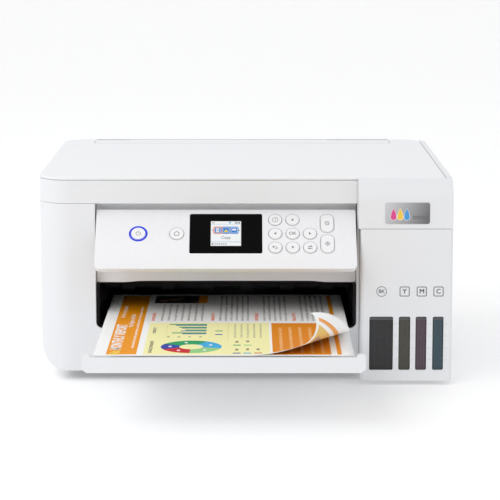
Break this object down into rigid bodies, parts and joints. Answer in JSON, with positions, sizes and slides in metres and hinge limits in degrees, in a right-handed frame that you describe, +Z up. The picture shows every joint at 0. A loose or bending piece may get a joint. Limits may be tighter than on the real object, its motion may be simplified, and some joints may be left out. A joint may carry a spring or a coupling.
{
  "type": "inkjet printer",
  "caption": "White three-in-one inkjet printer with a flatbed scanner lid, a raised tilting control panel with a small screen, see-through ink tanks and a pulled-out tray holding sheets.",
  "frame": {"origin": "on the surface it stands on, under the middle of the whole printer with its tray pulled out", "axes": "+Z up, +X to the right of someone facing the printer, -Y towards that person"},
  "size_m": [0.375, 0.518, 0.187],
  "materials": {
    "case_white": "fine spark-eroded texture",
    "lid_white": "fine matt texture",
    "panel_white": "fine crossed-line texture",
    "key_white": "smooth satin",
    "tray_white": "fine matt texture",
    "inner_grey": "satin",
    "frame_grey": "matt",
    "inner_black": "matt",
    "screen_black": "polished",
    "scan_glass": "clear float glass",
    "pad_foam": "foam sheet",
    "sheet_paper": "plain printed sheets",
    "black_ink": "translucent tank full of ink",
    "yellow_ink": "smoky translucent tank full of ink",
    "magenta_ink": "smoky translucent tank full of ink",
    "cyan_ink": "smoky translucent tank full of ink",
    "black_cap": "satin",
    "yellow_cap": "satin",
    "magenta_cap": "satin",
    "cyan_cap": "satin",
    "rail_steel": "zinc plated",
    "foot_rubber": "matt",
    "belt_rubber": "matt",
    "board_green": "solder mask"
  },
  "bodies": {
    "base": {"front_cover": "case_white", "base_case": "frame_grey", "rear_cover": "case_white", "panel_recess": "inner_grey", "exit_lining": "inner_black", "upper_frame": "frame_grey", "foot_front_left": "foot_rubber", "foot_front_right": "foot_rubber", "foot_rear_left": "foot_rubber", "foot_rear_right": "foot_rubber", "tank_housing": "case_white", "tank_face": "case_white", "black_ink_tank": "black_ink", "yellow_ink_tank": "yellow_ink", "magenta_ink_tank": "magenta_ink", "cyan_ink_tank": "cyan_ink", "feeder_housing": "inner_grey", "guide_rail": "rail_steel", "carriage_motor": "rail_steel", "timing_belt": "belt_rubber", "platen": "inner_black", "maintenance_station": "frame_grey", "power_supply": "rail_steel", "power_inlet": "inner_black", "main_board": "board_green"},
    "scanner_unit": {"scanner_housing": "case_white", "platen_glass": "scan_glass"},
    "scan_carriage": {"scan_carriage": "inner_black"},
    "document_lid": {"document_lid": "lid_white", "document_pad": "pad_foam"},
    "control_panel": {"panel_face": "panel_white", "panel_housing": "panel_white", "screen": "screen_black"},
    "output_tray": {"output_tray": "tray_white"},
    "tray_extension": {"tray_extension": "tray_white"},
    "printed_sheets": {"printed_sheets": "sheet_paper"},
    "tank_cover": {"tank_cover": "case_white"},
    "feeder_cover": {"feeder_cover": "lid_white"},
    "paper_support": {"paper_support": "inner_grey"},
    "edge_guide_left": {"edge_guide_left": "frame_grey"},
    "edge_guide_right": {"edge_guide_right": "frame_grey"},
    "print_carriage": {"print_carriage": "inner_black"},
    "feed_roller": {"feed_roller": "rail_steel"},
    "exit_roller": {"exit_roller": "belt_rubber"},
    "black_filler_cap": {"black_filler_cap": "black_cap"},
    "yellow_filler_cap": {"yellow_filler_cap": "yellow_cap"},
    "magenta_filler_cap": {"magenta_filler_cap": "magenta_cap"},
    "cyan_filler_cap": {"cyan_filler_cap": "cyan_cap"},
    "power_button": {"power_button": "key_white"},
    "home_button": {"home_button": "key_white"},
    "help_button": {"help_button": "key_white"},
    "up_button": {"up_button": "key_white"},
    "left_button": {"left_button": "key_white"},
    "ok_button": {"ok_button": "key_white"},
    "right_button": {"right_button": "key_white"},
    "back_button": {"back_button": "key_white"},
    "down_button": {"down_button": "key_white"},
    "settings_button": {"settings_button": "key_white"},
    "stop_button": {"stop_button": "key_white"},
    "start_button": {"start_button": "key_white"}
  },
  "joints": [
    {"name": "scanner_hinge", "type": "hinge", "parent": "base", "child": "scanner_unit", "pos_m": [0, 0.249, 0.18], "axis": [-1, 0, 0], "range_deg": [0, 25]},
    {"name": "lid_hinge", "type": "hinge", "parent": "scanner_unit", "child": "document_lid", "pos_m": [0, 0.2514, 0.1857], "axis": [-1, 0, 0], "range_deg": [0, 60]},
    {"name": "panel_hinge", "type": "hinge", "parent": "base", "child": "control_panel", "pos_m": [0, -0.062, 0.15], "axis": [1, 0, 0], "range_deg": [-20, 44.5]},
    {"name": "tray_slide", "type": "slide", "parent": "base", "child": "output_tray", "axis": [0, 1, 0], "range_m": [0, 0.102]},
    {"name": "extension_slide", "type": "slide", "parent": "output_tray", "child": "tray_extension", "axis": [0, 1, 0], "range_m": [0, 0.09]},
    {"name": "sheet_slide", "type": "slide", "parent": "base", "child": "printed_sheets", "axis": [0, -1, 0], "range_m": [0, 0.3]},
    {"name": "tank_cover_hinge", "type": "hinge", "parent": "base", "child": "tank_cover", "pos_m": [0.145, -0.0703, 0.184], "axis": [-1, 0, 0], "range_deg": [0, 80]},
    {"name": "feeder_cover_hinge", "type": "hinge", "parent": "base", "child": "feeder_cover", "pos_m": [-0.003, 0.2445, 0.184], "axis": [-1, 0, 0], "range_deg": [0, 70]},
    {"name": "paper_support_slide", "type": "slide", "parent": "base", "child": "paper_support", "axis": [0, 0.4226, 0.9063], "range_m": [0, 0.1]},
    {"name": "edge_guide_slide", "type": "slide", "parent": "base", "child": "edge_guide_left", "axis": [1, 0, 0], "range_m": [0, 0.055]},
    {"name": "edge_guide_right_slide", "type": "slide", "parent": "base", "child": "edge_guide_right", "axis": [1, 0, 0], "range_m": [-0.055, 0]},
    {"name": "print_carriage_slide", "type": "slide", "parent": "base", "child": "print_carriage", "axis": [-1, 0, 0], "range_m": [0, 0.29]},
    {"name": "scan_carriage_slide", "type": "slide", "parent": "scanner_unit", "child": "scan_carriage", "axis": [1, 0, 0], "range_m": [0, 0.265]},
    {"name": "feed_roller_spin", "type": "hinge", "parent": "base", "child": "feed_roller", "pos_m": [0, 0.14, 0.072], "axis": [1, 0, 0], "continuous": true},
    {"name": "exit_roller_spin", "type": "hinge", "parent": "base", "child": "exit_roller", "pos_m": [0, 0.034, 0.071], "axis": [1, 0, 0], "continuous": true},
    {"name": "black_cap_hinge", "type": "hinge", "parent": "base", "child": "black_filler_cap", "pos_m": [0.1234, -0.0585, 0.126], "axis": [-1, 0, 0], "range_deg": [0, 80]},
    {"name": "yellow_cap_hinge", "type": "hinge", "parent": "base", "child": "yellow_filler_cap", "pos_m": [0.1444, -0.0585, 0.126], "axis": [-1, 0, 0], "range_deg": [0, 80]},
    {"name": "magenta_cap_hinge", "type": "hinge", "parent": "base", "child": "magenta_filler_cap", "pos_m": [0.15935, -0.0585, 0.126], "axis": [-1, 0, 0], "range_deg": [0, 80]},
    {"name": "cyan_cap_hinge", "type": "hinge", "parent": "base", "child": "cyan_filler_cap", "pos_m": [0.1747, -0.0585, 0.126], "axis": [-1, 0, 0], "range_deg": [0, 80]},
    {"name": "power_button_press", "type": "slide", "parent": "control_panel", "child": "power_button", "axis": [0, 0.7133, -0.7009], "range_m": [0, 0.0007], "stiffness_N_per_m": 600},
    {"name": "home_button_press", "type": "slide", "parent": "control_panel", "child": "home_button", "axis": [0, 0.7133, -0.7009], "range_m": [0, 0.0007], "stiffness_N_per_m": 600},
    {"name": "help_button_press", "type": "slide", "parent": "control_panel", "child": "help_button", "axis": [0, 0.7133, -0.7009], "range_m": [0, 0.0007], "stiffness_N_per_m": 600},
    {"name": "up_button_press", "type": "slide", "parent": "control_panel", "child": "up_button", "axis": [0, 0.7133, -0.7009], "range_m": [0, 0.0007], "stiffness_N_per_m": 600},
    {"name": "left_button_press", "type": "slide", "parent": "control_panel", "child": "left_button", "axis": [0, 0.7133, -0.7009], "range_m": [0, 0.0007], "stiffness_N_per_m": 600},
    {"name": "ok_button_press", "type": "slide", "parent": "control_panel", "child": "ok_button", "axis": [0, 0.7133, -0.7009], "range_m": [0, 0.0007], "stiffness_N_per_m": 600},
    {"name": "right_button_press", "type": "slide", "parent": "control_panel", "child": "right_button", "axis": [0, 0.7133, -0.7009], "range_m": [0, 0.0007], "stiffness_N_per_m": 600},
    {"name": "back_button_press", "type": "slide", "parent": "control_panel", "child": "back_button", "axis": [0, 0.7133, -0.7009], "range_m": [0, 0.0007], "stiffness_N_per_m": 600},
    {"name": "down_button_press", "type": "slide", "parent": "control_panel", "child": "down_button", "axis": [0, 0.7133, -0.7009], "range_m": [0, 0.0007], "stiffness_N_per_m": 600},
    {"name": "settings_button_press", "type": "slide", "parent": "control_panel", "child": "settings_button", "axis": [0, 0.7133, -0.7009], "range_m": [0, 0.0007], "stiffness_N_per_m": 600},
    {"name": "stop_button_press", "type": "slide", "parent": "control_panel", "child": "stop_button", "axis": [0, 0.7133, -0.7009], "range_m": [0, 0.0007], "stiffness_N_per_m": 600},
    {"name": "start_button_press", "type": "slide", "parent": "control_panel", "child": "start_button", "axis": [0, 0.7133, -0.7009], "range_m": [0, 0.0007], "stiffness_N_per_m": 600}
  ],
  "couplings": [
    {"joint": "edge_guide_right_slide", "follows": "edge_guide_slide", "ratio": -1},
    {"joint": "exit_roller_spin", "follows": "feed_roller_spin", "ratio": 1.4}
  ]
}
